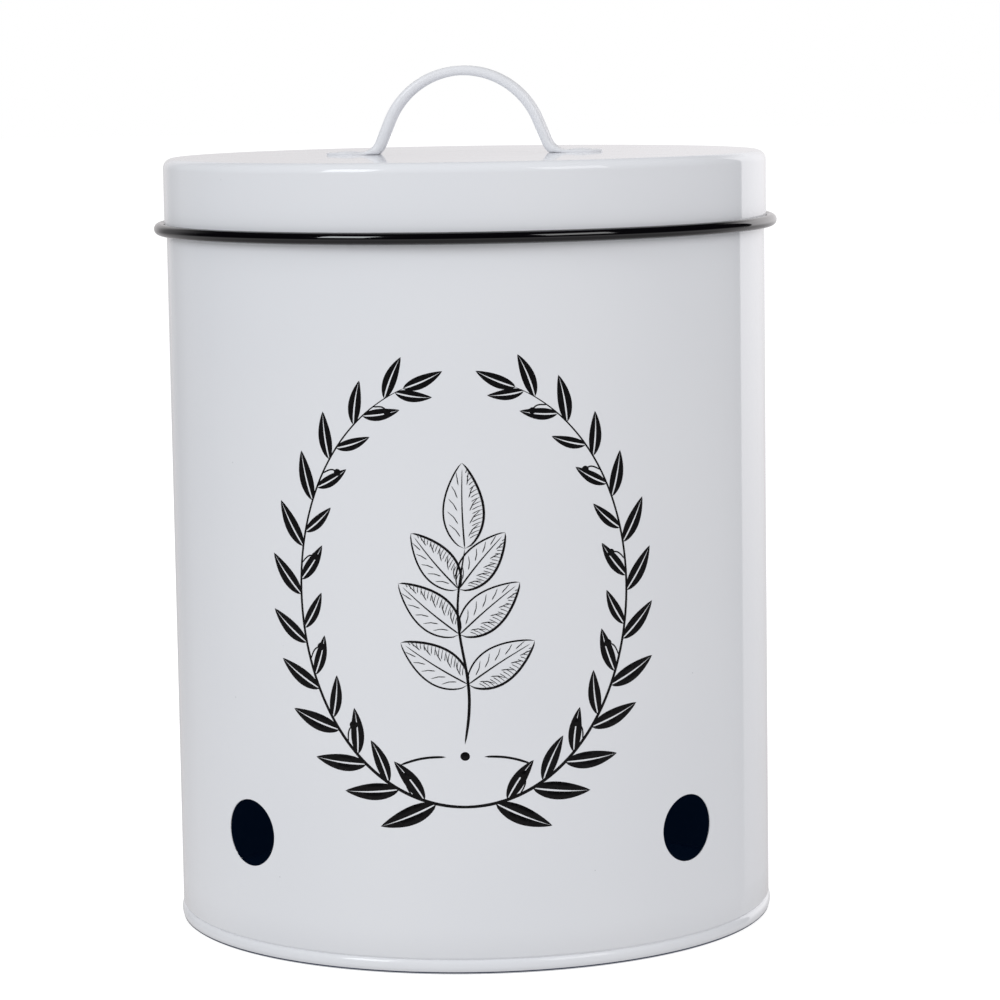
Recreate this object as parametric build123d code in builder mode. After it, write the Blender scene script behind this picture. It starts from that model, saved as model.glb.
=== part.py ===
"""Round sheet-steel storage bin with a slip-over lid, in millimetres.

The origin is the centre of the ring that the bin stands on. +Z is up and -Y is the front.
The lock seam of the body is at the back, on +Y. The lid is loose and sits slightly turned,
so its handle runs along X but for lid_turn.
Every sheet part is a section of bent sheet, turned about Z or swept along a path.
"""

import math
import os

from build123d import *

os.makedirs("parts", exist_ok=True)

# ---------------------------------------------------------------- driving dimensions
# Body: a rolled wall with a lock seam, four vents and a curled mouth
body_radius = 100.0  # outside of the wall
body_height = 255.5  # from the standing ring to the crest of the curled mouth
body_sheet = 0.4
hem_height = 3.2  # second layer of sheet, folded up inside the foot of the wall
lock_seam_width = 6.0
lock_seam_layers = 3  # folded layers that stand inside the wall
lock_seam_groove = 0.5  # width of the fine groove that the seam leaves outside
vent_radius = 10.9
vent_height = 40.35  # centre of the vents above the standing ring
vent_count = 4
first_vent_angle = 45.0  # from +X, so that two vents look forward

# Base: a pressed plate whose rim is folded round the hem of the body
base_sheet = 0.4
base_rim_height = 4.8
base_rim_slope = 1.0  # height of the slope that closes the rim against the wall
base_rim_bend = 0.5  # outside radius of the two bends that the bin stands on
floor_recess = 4.0  # underside of the floor above the standing ring
floor_bend = 0.6

# Lid: a shallow pressed cup with a curled trim round its lower edge
lid_sheet = 0.4
lid_corner_radius = 2.7  # outside radius between top and skirt
lid_skirt_depth = 23.25  # from the top face to the middle of the trim
lid_turn = -3.5  # about Z, of the loose lid with its handle and rivets
trim_diameter = 3.9
trim_sheet = 0.4

# Handle: a strap with rolled rims, bent into an arch on two outward feet
handle_height = 29.2  # crown of the arch above the lid
arch_radius = 28.5  # outside of the arch
leg_slant = 22.5  # how far the straight legs lean out, from upright
flare_radius = 6.0  # bend from each leg out into its foot
foot_reach = 4.2  # from the end of the flare to the rivet
foot_radius = 7.4
strap_sheet = 0.8
strap_width = 12.0
rim_diameter = 3.2  # rolled rims along both edges, under the strap

# Rivets: one through each foot
rivet_shank_radius = 1.7
rivet_head_radius = 3.5
rivet_head_height = 0.5
rivet_head_rim = 0.15
rivet_tail_radius = 3.0
rivet_tail_height = 0.7

# Clearances
lid_clearance = 0.3  # lid to body, at the wall and over the mouth
fold_clearance = 0.05  # between the folded layers at the foot of the body
lip_clearance = 0.2  # lips of the trim to skirt and flange
flange_end_clearance = 0.4  # end of the flange to the bore of the trim
rivet_clearance = 0.05

# ---------------------------------------------------------------- derived sizes
lid_underside = body_height + lid_clearance
lid_top = lid_underside + lid_sheet
lid_radius = body_radius + lid_clearance + lid_sheet
mouth_curl_radius = lid_corner_radius - lid_sheet - lid_clearance
mouth_curl_level = body_height - mouth_curl_radius
mouth_curl_turn = 270.0

hem_bottom = base_sheet + fold_clearance
lock_seam_depth = lock_seam_layers * body_sheet

base_seat_radius = body_radius + fold_clearance
base_rim_radius = base_seat_radius + base_sheet
base_rim_thickness = 2 * (base_sheet + fold_clearance + body_sheet)
base_inner_radius = base_rim_radius - base_rim_thickness
base_inner_bend = base_rim_bend - base_sheet
floor_top = floor_recess + base_sheet

lock_seam_bottom = floor_top + fold_clearance
lock_seam_height = mouth_curl_level - mouth_curl_radius - lock_seam_bottom
groove_height = mouth_curl_level - base_rim_height

trim_radius = trim_diameter / 2
trim_bore_radius = trim_radius - trim_sheet
trim_level = lid_top - lid_skirt_depth
trim_centre = body_radius + lid_clearance + trim_radius
flange_top = trim_level + lid_sheet / 2
flange_tip = trim_centre + trim_bore_radius - flange_end_clearance
flange_bend = lid_sheet * 0.75
upper_lip_angle = math.degrees(math.acos((lid_radius + lip_clearance - trim_centre) / trim_radius))
lower_lip_angle = 180 + math.degrees(math.asin((lid_sheet / 2 + lip_clearance) / trim_bore_radius))

foot_top = lid_top + strap_sheet
arch_level = lid_top + handle_height - arch_radius
leg_climb = 90 - leg_slant
leg_run = math.sin(math.radians(leg_slant))
leg_rise = math.cos(math.radians(leg_slant))
leg_drop = arch_level + arch_radius * leg_run - foot_top - flare_radius * (1 - leg_run)
leg_length = leg_drop / leg_rise
flare_centre = (arch_radius + flare_radius) * leg_rise + leg_length * leg_run
rim_radius = rim_diameter / 2
rim_centre = strap_width / 2 - rim_radius
rim_turn = 270 + math.degrees(math.asin((rim_radius - strap_sheet) / rim_radius))

rivet_offset = flare_centre + foot_reach
rivet_hole_radius = rivet_shank_radius + rivet_clearance

handle_direction = Vector(1, 0, 0).rotate(Axis.Z, lid_turn)
handle_side = Plane((0, 0, 0), x_dir=handle_direction, z_dir=handle_direction.rotate(Axis.Z, -90))
rivet_centres = {"left": -rivet_offset * handle_direction, "right": rivet_offset * handle_direction}

# ---------------------------------------------------------------- body shell
with BuildPart() as body_shell:
    with BuildSketch(Plane.XZ) as wall_section:
        with BuildLine():
            Line((body_radius, hem_bottom), (body_radius, mouth_curl_level))
            CenterArc(
                (body_radius - mouth_curl_radius, mouth_curl_level),
                mouth_curl_radius,
                0,
                mouth_curl_turn,
            )
            offset(amount=body_sheet, side=Side.LEFT)
        make_face()
        with Locations((body_radius - body_sheet, hem_bottom)):
            Rectangle(body_sheet, hem_height, align=(Align.MAX, Align.MIN))
    revolve(axis=Axis.Z)

    # The folded layers of the lock seam stand inside the wall, at the back
    with BuildSketch(Plane.XY.offset(lock_seam_bottom)) as seam_plan:
        with Locations((0, body_radius - body_sheet / 2)):
            Rectangle(
                lock_seam_width,
                lock_seam_depth + body_sheet / 2,
                align=(Align.CENTER, Align.MAX),
            )
    extrude(amount=lock_seam_height)

    with BuildSketch(Plane.XY.offset(base_rim_height)) as groove_plan:
        with Locations((0, body_radius)):
            Rectangle(lock_seam_groove, body_sheet)
    extrude(amount=groove_height, mode=Mode.SUBTRACT)

    for vent_number in range(vent_count):
        vent_angle = first_vent_angle + vent_number * 360 / vent_count
        vent_direction = Vector(1, 0, 0).rotate(Axis.Z, vent_angle)
        with BuildSketch(Plane((0, 0, vent_height), z_dir=vent_direction)) as vent_outline:
            Circle(vent_radius)
        extrude(amount=body_radius + body_sheet, mode=Mode.SUBTRACT)

body_shell.part.label = "body_shell"
export_step(body_shell.part, "parts/body_shell.step")

# ---------------------------------------------------------------- base plate
base_outline = [
    (base_seat_radius, base_rim_height),
    (base_rim_radius, base_rim_height - base_rim_slope),
    (base_rim_radius, 0),
    (base_inner_radius, 0),
    (base_inner_radius, floor_recess),
    (0, floor_recess),
    (0, floor_top),
    (base_inner_radius + base_sheet, floor_top),
    (base_inner_radius + base_sheet, base_sheet),
    (base_seat_radius, base_sheet),
]
base_bends = [
    0,
    base_rim_slope,
    base_rim_bend,
    base_rim_bend,
    floor_bend,
    0,
    0,
    floor_bend + base_sheet,
    base_inner_bend,
    base_inner_bend,
]
with BuildPart() as base_plate:
    with BuildSketch(Plane.XZ) as base_section:
        with BuildLine():
            FilletPolyline(*base_outline, radius=base_bends, close=True)
        make_face()
    revolve(axis=Axis.Z)

base_plate.part.label = "base_plate"
export_step(base_plate.part, "parts/base_plate.step")

# ---------------------------------------------------------------- lid shell
with BuildPart() as lid_shell:
    with BuildSketch(Plane.XZ) as lid_section:
        with BuildLine():
            FilletPolyline(
                (0, lid_top),
                (lid_radius, lid_top),
                (lid_radius, flange_top),
                (flange_tip, flange_top),
                radius=[lid_corner_radius, flange_bend],
            )
            offset(amount=lid_sheet, side=Side.RIGHT)
        make_face()
    revolve(axis=Axis.Z)

    with BuildSketch(Plane.XY.offset(lid_underside)) as lid_rivet_holes:
        with Locations(*rivet_centres.values()):
            Circle(rivet_hole_radius)
    extrude(amount=lid_sheet, mode=Mode.SUBTRACT)

lid_shell.part.label = "lid_shell"
export_step(lid_shell.part, "parts/lid_shell.step")

# ---------------------------------------------------------------- lid trim
# The trim is an open tube: its two lips close on the skirt and trap the flange of the lid
with BuildPart() as lid_rim_trim:
    with BuildSketch(Plane.XZ) as trim_section:
        with BuildLine():
            CenterArc(
                (trim_centre, trim_level),
                trim_radius,
                lower_lip_angle,
                360 + upper_lip_angle - lower_lip_angle,
            )
            offset(amount=trim_sheet, side=Side.LEFT)
        make_face()
    revolve(axis=Axis.Z)

lid_rim_trim.part.label = "lid_rim_trim"
export_step(lid_rim_trim.part, "parts/lid_rim_trim.step")

# ---------------------------------------------------------------- handle strap
with BuildPart() as handle_strap:
    # The path is the outer face of the strap, from the left rivet over the arch to the right one
    with BuildLine(handle_side) as strap_path:
        left_foot = Line((-rivet_offset, foot_top), (-flare_centre, foot_top))
        left_flare = JernArc(left_foot @ 1, left_foot % 1, flare_radius, leg_climb)
        left_leg = PolarLine(left_flare @ 1, leg_length, direction=left_flare % 1)
        arch = JernArc(left_leg @ 1, left_leg % 1, arch_radius, -2 * leg_climb)
        right_leg = PolarLine(arch @ 1, leg_length, direction=arch % 1)
        right_flare = JernArc(right_leg @ 1, right_leg % 1, flare_radius, leg_climb)
        Line(right_flare @ 1, (rivet_offset, foot_top))

    strap_start = Plane(strap_path.line @ 0, x_dir=-handle_side.z_dir, z_dir=handle_direction)
    with BuildSketch(strap_start) as strap_section:
        with BuildLine():
            Line((0, 0), (rim_centre, 0))
            rim = CenterArc((rim_centre, -rim_radius), rim_radius, 90, -rim_turn)
            Line(rim @ 1, (0, -strap_sheet))
            mirror(about=Plane.YZ)
        make_face()
    sweep(path=strap_path.line)

    # The rims run out where they meet the lid
    with BuildSketch(Plane.XY.offset(lid_top)) as lid_face:
        Circle(lid_radius)
    extrude(amount=-rim_diameter, mode=Mode.SUBTRACT)

    with BuildSketch(Plane.XY.offset(lid_top)) as foot_plan:
        with Locations(*rivet_centres.values()):
            Circle(foot_radius)
    extrude(amount=strap_sheet)

    with BuildSketch(Plane.XY.offset(lid_top)) as foot_holes:
        with Locations(*rivet_centres.values()):
            Circle(rivet_hole_radius)
    extrude(amount=strap_sheet, mode=Mode.SUBTRACT)

handle_strap.part.label = "handle_strap"
export_step(handle_strap.part, "parts/handle_strap.step")

# ---------------------------------------------------------------- rivets
for side_name, rivet_centre in rivet_centres.items():
    with BuildPart() as handle_rivet:
        with BuildSketch(Plane(rivet_centre, x_dir=(1, 0, 0), z_dir=(0, -1, 0))) as rivet_section:
            with BuildLine():
                Polyline(
                    (0, foot_top + rivet_head_height),
                    (0, lid_underside - rivet_tail_height),
                    (rivet_tail_radius, lid_underside - rivet_tail_height),
                    (rivet_tail_radius, lid_underside),
                    (rivet_shank_radius, lid_underside),
                    (rivet_shank_radius, foot_top),
                    (rivet_head_radius, foot_top),
                    (rivet_head_radius, foot_top + rivet_head_rim),
                )
                dome_rise = rivet_head_height - rivet_head_rim
                dome_radius = (rivet_head_radius**2 + dome_rise**2) / (2 * dome_rise)
                RadiusArc(
                    (0, foot_top + rivet_head_height),
                    (rivet_head_radius, foot_top + rivet_head_rim),
                    dome_radius,
                )
            make_face()
        revolve(axis=Axis(rivet_centre, (0, 0, 1)))

    handle_rivet.part.label = f"handle_rivet_{side_name}"
    export_step(handle_rivet.part, f"parts/handle_rivet_{side_name}.step")
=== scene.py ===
"""Dresses a round enamelled storage bin with a loose lid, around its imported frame.

Sizes are in millimetres and angles in degrees until a mesh is made, when millimetres become metres.
+Z is up and -Y is the decorated front. The lid sits slightly turned on the bin.
"""

from __future__ import annotations

import functools
import logging
import math
from dataclasses import dataclass
from enum import Enum
from typing import Any

import bmesh
import bpy
import numpy as np
from mathutils import Matrix, Vector


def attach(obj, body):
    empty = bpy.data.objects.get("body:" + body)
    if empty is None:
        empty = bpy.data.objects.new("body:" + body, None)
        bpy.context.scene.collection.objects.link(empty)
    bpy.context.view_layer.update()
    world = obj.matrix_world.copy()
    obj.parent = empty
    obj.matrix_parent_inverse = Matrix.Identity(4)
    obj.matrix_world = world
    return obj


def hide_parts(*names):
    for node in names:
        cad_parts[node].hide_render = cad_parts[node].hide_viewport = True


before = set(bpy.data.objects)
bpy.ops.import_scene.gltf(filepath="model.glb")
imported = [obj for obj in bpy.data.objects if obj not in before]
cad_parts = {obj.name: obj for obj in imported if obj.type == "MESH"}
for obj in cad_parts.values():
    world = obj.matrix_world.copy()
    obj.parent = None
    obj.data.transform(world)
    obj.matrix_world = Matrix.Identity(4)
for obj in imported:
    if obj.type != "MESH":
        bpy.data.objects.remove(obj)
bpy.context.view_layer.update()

LOG = logging.getLogger("storage_bin")
MM = 0.001
WELD_DISTANCE = 2e-7
SHARP_ANGLE = 32.0

Array = np.ndarray
Colour = tuple[float, float, float]
Pair = tuple[float, float]


class Body(Enum):
    """The two bodies of the frame that pieces ride on."""

    BIN = "bin"
    LID = "lid"


class Slot(Enum):
    """The record's material slots."""

    WHITE = "white_enamel"
    BLACK = "black_enamel"


# ---------------------------------------------------------------- shader maths
class Signal:
    """One output socket of a node tree, with Python operators that add Math nodes."""

    def __init__(self, plan: ShaderPlan, socket: bpy.types.NodeSocket) -> None:
        """Keeps the plan that new nodes go into and the socket that this signal comes from."""
        self.plan = plan
        self.socket = socket

    def _math(self, operation: str, *values: Any) -> Signal:
        """The result of a Math node whose inputs are numbers or signals."""
        return self.plan.node("ShaderNodeMath", {"operation": operation}, dict(enumerate(values)))

    def __add__(self, other: Any) -> Signal:
        """The sum."""
        return self._math("ADD", self, other)

    __radd__ = __add__

    def __sub__(self, other: Any) -> Signal:
        """The difference."""
        return self._math("SUBTRACT", self, other)

    def __rsub__(self, other: Any) -> Signal:
        """The difference, the other way round."""
        return self._math("SUBTRACT", other, self)

    def __mul__(self, other: Any) -> Signal:
        """The product."""
        return self._math("MULTIPLY", self, other)

    __rmul__ = __mul__

    def ramp(self, low: float, high: float) -> Signal:
        """A smooth step from 0, where this is low or less, to 1, where it is high or more."""
        settings = {"interpolation_type": "SMOOTHSTEP", "clamp": True}
        values = {"Value": self, "From Min": low, "From Max": high}
        return self.plan.node("ShaderNodeMapRange", settings, values)


class ShaderPlan:
    """Builds the node tree of one material or world."""

    def __init__(self, tree: bpy.types.NodeTree) -> None:
        """Takes over the tree of a material or a world and empties it."""
        self.tree = tree
        self.tree.nodes.clear()

    def node(
        self,
        kind: str,
        settings: dict[str, Any] | None = None,
        inputs: dict[str | int, Any] | None = None,
        output: str | int = 0,
    ) -> Signal:
        """Adds any node: its settings first, then the values or links of its sockets.

        Args:
            kind: the node's type name.
            settings: attributes of the node, such as a Math node's operation.
            inputs: values or signals by socket name or number.
            output: which output the returned signal reads.

        Returns:
            The chosen output.
        """
        made = self.tree.nodes.new(kind)
        for name, value in (settings or {}).items():
            setattr(made, name, value)
        for key, value in (inputs or {}).items():
            socket = self._open_socket(made.inputs, key)
            if isinstance(value, Signal):
                self.tree.links.new(value.socket, socket)
            else:
                socket.default_value = value
        return Signal(self, self._open_socket(made.outputs, output))

    @staticmethod
    def _open_socket(sockets: Any, key: str | int) -> bpy.types.NodeSocket:
        """The socket of this number or name, skipping those that the node's settings switch off."""
        named = (socket for socket in sockets if socket.name == key and socket.enabled)
        return sockets[key] if isinstance(key, int) else next(named)

    def place(self) -> Signal:
        """The point on the object, in metres."""
        return self.node("ShaderNodeTexCoord", output="Object")

    def noise(self, at: Signal, scale: float, detail: float = 3.0, roughness: float = 0.5) -> Signal:
        """Cloudy noise around 0.5 at a point: clouds per metre, octaves and how strong the finer ones are."""
        values = {"Vector": at, "Scale": scale, "Detail": detail, "Roughness": roughness}
        return self.node("ShaderNodeTexNoise", inputs=values)

    def stretched(self, at: Signal, factors: Colour) -> Signal:
        """The point with X, Y and Z scaled, so that noise read there is drawn out."""
        return self.node("ShaderNodeVectorMath", {"operation": "MULTIPLY"}, {0: at, 1: factors})

    def specks(self, at: Signal, scale: float, size: float) -> Signal:
        """One in round specks, scattered at scale cells per metre, whose radius is size of a cell."""
        distance = self.node("ShaderNodeTexVoronoi", inputs={"Vector": at, "Scale": scale}, output="Distance")
        return 1.0 - distance.ramp(size * 0.6, size)

    def blend(self, share: Any, first: Any, second: Any) -> Signal:
        """The first colour or signal, with a share of the second mixed in."""
        values = {0: share, "A": _rgba(first), "B": _rgba(second)}
        return self.node("ShaderNodeMix", {"data_type": "RGBA"}, values, output="Result")

    def bump(self, height: Signal, strength: float, reach: float) -> Signal:
        """The normal tilted by a height, whose step from 0 to 1 is reach metres."""
        return self.node("ShaderNodeBump", inputs={"Strength": strength, "Distance": reach, "Height": height})

    def coat(self, colour: Signal, roughness: Signal, ior: float, normal: Signal, **more: Any) -> Signal:
        """A coat of paint.

        Args:
            colour: its colour.
            roughness: how dull it is.
            ior: its index of refraction.
            normal: the tilted normal.
            more: further inputs by their names, words joined by underscores.

        Returns:
            The shader's output.
        """
        values = {"Base Color": colour, "Roughness": roughness, "IOR": ior, "Normal": normal}
        values |= {name.replace("_", " "): value for name, value in more.items()}
        return self.node("ShaderNodeBsdfPrincipled", inputs=values)

    def ray(self, kind: str) -> Signal:
        """One for rays of a kind, such as Camera or Glossy."""
        return self.node("ShaderNodeLightPath", output=f"Is {kind} Ray")

    def show(self, shader: Signal, output: str = "ShaderNodeOutputMaterial") -> None:
        """Links a finished shader to an output node of this type."""
        end = self.tree.nodes.new(output)
        self.tree.links.new(shader.socket, end.inputs["Surface"])


def _rgba(value: Any) -> Any:
    """A colour with its alpha, while a signal stays as it is."""
    return value if isinstance(value, Signal) else (*value, 1.0)


# ---------------------------------------------------------------- finishes
@dataclass(frozen=True)
class Finish:
    """What all finishes share: a name and the way to a material."""

    name: str

    @functools.cache
    def material(self) -> bpy.types.Material:
        """The Blender material of this finish, made on first use.

        Returns:
            The material.
        """
        made = bpy.data.materials.new(self.name)
        made.use_nodes = True
        plan = ShaderPlan(made.node_tree)
        plan.show(self.shader(plan))
        return made

    def shader(self, plan: ShaderPlan) -> Signal:
        """The shader of this finish, in the node tree of a plan."""
        raise NotImplementedError


@dataclass(frozen=True)
class WhiteEnamel(Finish):
    """Glossy cool white stoving enamel: faint clouds, a few dust specks, orange peel and wiped smears."""

    name: str = "cool_white_enamel"
    colour: Colour = (0.775, 0.782, 0.812)
    cloud_colour: Colour = (0.755, 0.764, 0.798)
    speck_colour: Colour = (0.52, 0.53, 0.56)
    gloss: float = 0.045
    smear: float = 0.05
    ripple: float = 1.0

    def shader(self, plan: ShaderPlan) -> Signal:
        """Clouds and specks colour it, smears dull it, and orange peel on slow waves tilts it.

        Args:
            plan: the node tree that it goes into.

        Returns:
            The shader's output.
        """
        at = plan.place()
        clouds = plan.noise(at, 9.0, 2.0).ramp(0.3, 0.7)
        rare = plan.noise(at, 23.0, 1.0).ramp(0.60, 0.64)
        specks = plan.specks(at, 110.0, 0.035) * rare
        tone = plan.blend(clouds, self.colour, self.cloud_colour)
        colour = plan.blend(specks * 0.6, tone, self.speck_colour)
        wiped = plan.noise(plan.stretched(at, (4.0, 4.0, 0.8)), 14.0, 4.0, 0.6).ramp(0.45, 0.75)
        peel = plan.noise(at, 420.0, 2.0, 0.4)
        waves = plan.noise(at, 60.0, 1.0)
        normal = plan.bump(peel * 0.06 + waves * 0.7, self.ripple, 0.00002)
        return plan.coat(colour, self.gloss + wiped * self.smear + specks * 0.2, 1.5, normal)


@dataclass(frozen=True)
class BlackEnamel(Finish):
    """High-gloss black enamel on the rolled trim, with dust and light wiping marks."""

    name: str = "gloss_black_enamel"
    colour: Colour = (0.0012, 0.0009, 0.0018)
    dust_colour: Colour = (0.05, 0.05, 0.055)
    gloss: float = 0.06

    def shader(self, plan: ShaderPlan) -> Signal:
        """Dust greys it, wiping dulls it and fine ripples tilt it.

        Args:
            plan: the node tree that it goes into.

        Returns:
            The shader's output.
        """
        at = plan.place()
        dust = plan.specks(at, 260.0, 0.10) * plan.noise(at, 40.0, 1.0).ramp(0.5, 0.6)
        wiped = plan.noise(at, 30.0, 4.0, 0.6).ramp(0.45, 0.75)
        colour = plan.blend(dust * 0.5, self.colour, self.dust_colour)
        normal = plan.bump(plan.noise(at, 180.0, 2.0), 1.0, 0.00001)
        return plan.coat(colour, self.gloss + wiped * 0.08 + dust * 0.25, 1.72, normal)


@dataclass(frozen=True)
class DarkInside(Finish):
    """Dark blue-black on the inside faces of the tin and lid, with rubbed patches, drawing marks and a faint
    glow of painted bounce light.
    """

    name: str = "dark_inside"
    colour: Colour = (0.012, 0.021, 0.052)
    worn_colour: Colour = (0.024, 0.034, 0.068)
    glow: Colour = (0.0005, 0.0020, 0.0058)
    gloss: float = 0.28

    def shader(self, plan: ShaderPlan) -> Signal:
        """Worn patches lighten and dull it, and drawing marks run round it.

        A trace of glow stands in for the light that bounces about inside the tin.

        Args:
            plan: the node tree that it goes into.

        Returns:
            The shader's output.
        """
        at = plan.place()
        worn = plan.noise(at, 22.0, 5.0, 0.65).ramp(0.48, 0.72)
        marks = plan.noise(plan.stretched(at, (1.0, 1.0, 24.0)), 45.0, 3.0)
        colour = plan.blend(worn, self.colour, self.worn_colour)
        normal = plan.bump(marks, 1.0, 0.00003)
        # Painted light: a faint blue glow stands in for light bounced about inside the closed tin.
        glow = {"Emission_Color": _rgba(self.glow), "Emission_Strength": 1.0}
        return plan.coat(colour, self.gloss + worn * 0.15, 1.5, normal, **glow)


@dataclass(frozen=True)
class PrintInk(Finish):
    """Black screen-printing ink: satin, a little thin in places."""

    name: str = "print_ink"
    colour: Colour = (0.0020, 0.0018, 0.0024)
    thin_colour: Colour = (0.0070, 0.0068, 0.0080)

    def shader(self, plan: ShaderPlan) -> Signal:
        """The mesh of the screen shows as a fine mottle.

        Args:
            plan: the node tree that it goes into.

        Returns:
            The shader's output.
        """
        mottle = plan.noise(plan.place(), 900.0, 3.0, 0.6)
        colour = plan.blend(mottle.ramp(0.5, 0.75), self.colour, self.thin_colour)
        return plan.coat(colour, 0.22 + mottle * 0.12, 1.34, plan.bump(mottle, 1.0, 0.00001))


@dataclass(frozen=True)
class FloorPaper(Finish):
    """The studio's floor: lit and shadowed paper that also glows, to the camera up to white.

    Reflections look through it, and bounced light comes from it evenly.
    """

    name: str = "studio_floor"
    dark_grain: Colour = (0.21, 0.21, 0.21)
    pale_grain: Colour = (0.23, 0.23, 0.23)
    seen_colour: Colour = (0.50, 0.50, 0.50)
    glow: float = 0.40
    seen_glow: float = 0.32

    def shader(self, plan: ShaderPlan) -> Signal:
        """Diffuse paper and glow together, clear to reflections.

        Args:
            plan: the node tree that it goes into.

        Returns:
            The shader's output.
        """
        grain = plan.noise(plan.place(), 30.0, 3.0)
        seen = plan.ray("Camera")
        colour = plan.blend(seen, plan.blend(grain, self.dark_grain, self.pale_grain), self.seen_colour)
        matt = plan.node("ShaderNodeBsdfDiffuse", inputs={"Color": colour})
        glow = plan.node("ShaderNodeEmission", inputs={"Strength": seen * self.seen_glow + self.glow})
        lit = plan.node("ShaderNodeAddShader", inputs={0: matt, 1: glow})
        clear = plan.node("ShaderNodeBsdfTransparent")
        return plan.node("ShaderNodeMixShader", inputs={0: plan.ray("Glossy"), 1: lit, 2: clear})


WHITE = WhiteEnamel()
SOFT = WhiteEnamel("soft_white_enamel", (0.765, 0.768, 0.796), (0.746, 0.751, 0.782), gloss=0.26, ripple=0.0)
BLACK = BlackEnamel()
DARK_INSIDE = DarkInside()
INK = PrintInk()


# ---------------------------------------------------------------- sections and paths
def arc_line(centre: Pair, radius: float, start: float, turn: float, step: float = 6.0) -> Array:
    """Points of an arc: centre + radius (cos a, sin a), with a going evenly from start to start + turn.

    Args:
        centre: the arc's centre.
        radius: its radius.
        start: the first angle, in degrees.
        turn: how far it goes round, counter-clockwise where positive.
        step: the largest angle between two points.

    Returns:
        The points, one row each.
    """
    count = max(2, math.ceil(abs(turn) / step) + 1)
    angle = np.radians(np.linspace(start, start + turn, count))
    return np.column_stack((centre[0] + radius * np.cos(angle), centre[1] + radius * np.sin(angle)))


def bent_line(*corners: tuple[float, ...], support: float = 0.15, longest: float = 24.0) -> Array:
    """Straight runs joined by arcs that are tangent to both.

    Where the runs enclose the angle 2h, the arc's ends lie bend / tan h from the corner and its centre
    lies bend / sin h from it, on the bisector. A point close to each end of an arc keeps the runs flat.

    Args:
        corners: each corner's place across and up, with the radius of its bend where it has one.
        support: distance of the extra points from the arcs.
        longest: runs longer than this are divided.

    Returns:
        The points, one row each.
    """
    spots = np.array([corner[:2] for corner in corners], float)
    line = [spots[:1]]
    for corner, spot, back, ahead in zip(corners[1:-1], spots[1:-1], spots[:-2], spots[2:]):
        if len(corner) < 3:
            line.append(spot[None])
            continue
        bend = corner[2]
        inward = (back - spot) / np.linalg.norm(back - spot)
        onward = (ahead - spot) / np.linalg.norm(ahead - spot)
        half = math.acos(float(inward @ onward)) / 2
        middle = (inward + onward) / np.linalg.norm(inward + onward)
        centre = spot + middle * bend / math.sin(half)
        ends = [spot + way * bend / math.tan(half) for way in (inward, onward)]
        first, last = (math.degrees(math.atan2(*(end - centre)[::-1])) for end in ends)
        arc = arc_line(tuple(centre), bend, first, (last - first + 180) % 360 - 180)
        line += [(ends[0] + inward * support)[None], arc, (ends[1] + onward * support)[None]]
    return divided(np.concatenate([*line, spots[-1:]]), longest)


def divided(line: Array, longest: float) -> Array:
    """The same line with its long runs divided evenly.

    Args:
        line: points, one row each.
        longest: the longest run that stays whole.

    Returns:
        The points with those between them.
    """
    lengths = np.linalg.norm(np.diff(line, axis=0), axis=1)
    parts = np.ceil(lengths / longest).astype(int).clip(1)
    runs = [np.linspace(a, b, n, endpoint=False) for a, b, n in zip(line[:-1], line[1:], parts)]
    return np.concatenate([*runs, line[-1:]])


def wrapped(radius: Any, angle: Array, up: Array) -> Array:
    """Points round Z, with the angle in radians: (r cos a, r sin a, z)."""
    return np.stack((radius * np.cos(angle), radius * np.sin(angle), up + 0 * angle), axis=-1)


class BendPath:
    """A flat path of straights and bends, given by the length s along it."""

    def __init__(self, start: Pair) -> None:
        """Starts the path at a point, heading across."""
        self.starts = [0.0]
        self.points = [np.array(start, float)]
        self.headings = [0.0]
        self.curves: list[float] = []

    def run(self, length: float, turn: float = 0.0) -> BendPath:
        """Goes on with a straight or a bend.

        Args:
            length: its length.
            turn: how far it turns, in degrees, to the left where positive.

        Returns:
            The path, so that calls can be chained.
        """
        self.curves.append(math.radians(turn) / length)
        points, headings = self.at(np.array([self.starts[-1] + length]))
        self.starts.append(self.starts[-1] + length)
        self.points.append(points[0])
        self.headings.append(float(headings[0]))
        return self

    def at(self, s: Array) -> tuple[Array, Array]:
        """Points and headings: on a piece of curvature k, the chord of a length d is d sinc(k d / 2) long
        and turned by k d / 2 from the heading at the piece's start.

        Args:
            s: lengths along the path, in an array of any shape.

        Returns:
            The points, with one more axis than s, and the headings in radians.
        """
        index = np.searchsorted(self.starts[: len(self.curves)], s, side="right") - 1
        index = index.clip(0)
        along = s - np.array(self.starts)[index]
        curve = np.array(self.curves)[index]
        heading = np.array(self.headings)[index]
        chord = along * np.sinc(curve * along / 2 / np.pi)
        middle = heading + curve * along / 2
        shift = np.stack((np.cos(middle), np.sin(middle)), axis=-1) * chord[..., None]
        return np.array(self.points)[index] + shift, heading + curve * along

    def stations(self, step: float, support: float = 0.15) -> Array:
        """Lengths to put sections at: evenly round each bend, and close to the ends of each straight.

        Args:
            step: the largest turn between two stations in a bend, in degrees.
            support: distance of a straight's inner stations from its ends.

        Returns:
            The lengths, in order.
        """
        found = []
        for begin, end, curve in zip(self.starts, self.starts[1:], self.curves):
            turn = abs(math.degrees(curve)) * (end - begin)
            bend = np.linspace(begin, end, max(2, math.ceil(turn / step) + 1))
            found.append(bend if turn > 0 else np.array([begin, begin + support, end - support, end]))
        return np.unique(np.concatenate(found).round(6))


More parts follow.
